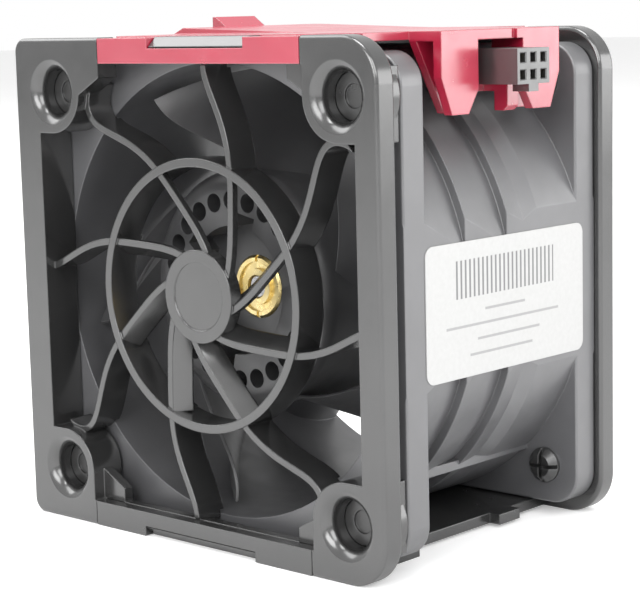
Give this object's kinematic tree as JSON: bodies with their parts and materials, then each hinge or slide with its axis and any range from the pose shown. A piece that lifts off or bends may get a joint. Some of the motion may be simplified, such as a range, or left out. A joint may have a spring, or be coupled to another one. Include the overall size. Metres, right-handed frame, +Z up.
{
  "type": "server fan module",
  "caption": "Hot-swap server fan module: axial fan hung in rubber isolators between bezels, with a spiral finger guard, a red carrier and a side connector.",
  "frame": {"origin": "on the resting plane, straight under the fan axis, at half the module's depth", "axes": "+Z up, -Y out of the guarded air inlet, +X towards the connector side"},
  "size_m": [0.0678, 0.0466, 0.0662],
  "materials": {
    "bezel_black": "gloss",
    "carrier_red": "gloss",
    "carrier_black": "gloss",
    "housing_black": "matte",
    "impeller_black": "satin",
    "isolator_rubber": "matte",
    "steel": "satin",
    "spring_steel": "bright",
    "magnet_grey": "matte",
    "brass": "polished",
    "copper": "enamelled",
    "lamination": "layered",
    "insulator_cream": "matte",
    "board_green": "satin",
    "chip_black": "matte",
    "connector_black": "satin",
    "contact_gold": "plated",
    "wire_mixed": "satin",
    "label_silver": "satin",
    "cage_white": "matte"
  },
  "bodies": {
    "module": {"front_bezel": "bezel_black", "rear_bezel": "bezel_black", "top_carrier": "carrier_red", "bottom_carrier": "carrier_black", "fan_housing": "housing_black", "front_isolators": "isolator_rubber", "rear_isolators": "isolator_rubber", "front_bearing_outer": "steel", "rear_bearing_outer": "steel", "bearing_tube": "brass", "stator_core": "lamination", "stator_insulators": "insulator_cream", "stator_windings": "copper", "circuit_board": "board_green", "board_components": "chip_black", "connector_housing": "connector_black", "connector_contacts": "contact_gold", "lead_wires": "wire_mixed", "label_plate": "label_silver"},
    "rotor": {"impeller": "impeller_black", "rotor_yoke": "steel", "magnet_ring": "magnet_grey", "shaft": "steel", "hub_bush": "brass", "preload_spring": "spring_steel", "retaining_clip": "spring_steel", "front_bearing_inner": "steel", "rear_bearing_inner": "steel"},
    "front_ball_train": {"front_bearing_balls": "steel", "front_bearing_cage": "cage_white"},
    "rear_ball_train": {"rear_bearing_balls": "steel", "rear_bearing_cage": "cage_white"}
  },
  "joints": [
    {"name": "rotor_spin", "type": "hinge", "parent": "module", "child": "rotor", "pos_m": [0, 0, 0.032], "axis": [0, -1, 0], "continuous": true},
    {"name": "front_ball_train_roll", "type": "hinge", "parent": "module", "child": "front_ball_train", "pos_m": [0, 0, 0.032], "axis": [0, -1, 0], "continuous": true},
    {"name": "rear_ball_train_roll", "type": "hinge", "parent": "module", "child": "rear_ball_train", "pos_m": [0, 0, 0.032], "axis": [0, -1, 0], "continuous": true}
  ],
  "couplings": [
    {"joint": "front_ball_train_roll", "follows": "rotor_spin", "ratio": 0.37027},
    {"joint": "rear_ball_train_roll", "follows": "rotor_spin", "ratio": 0.37027}
  ]
}
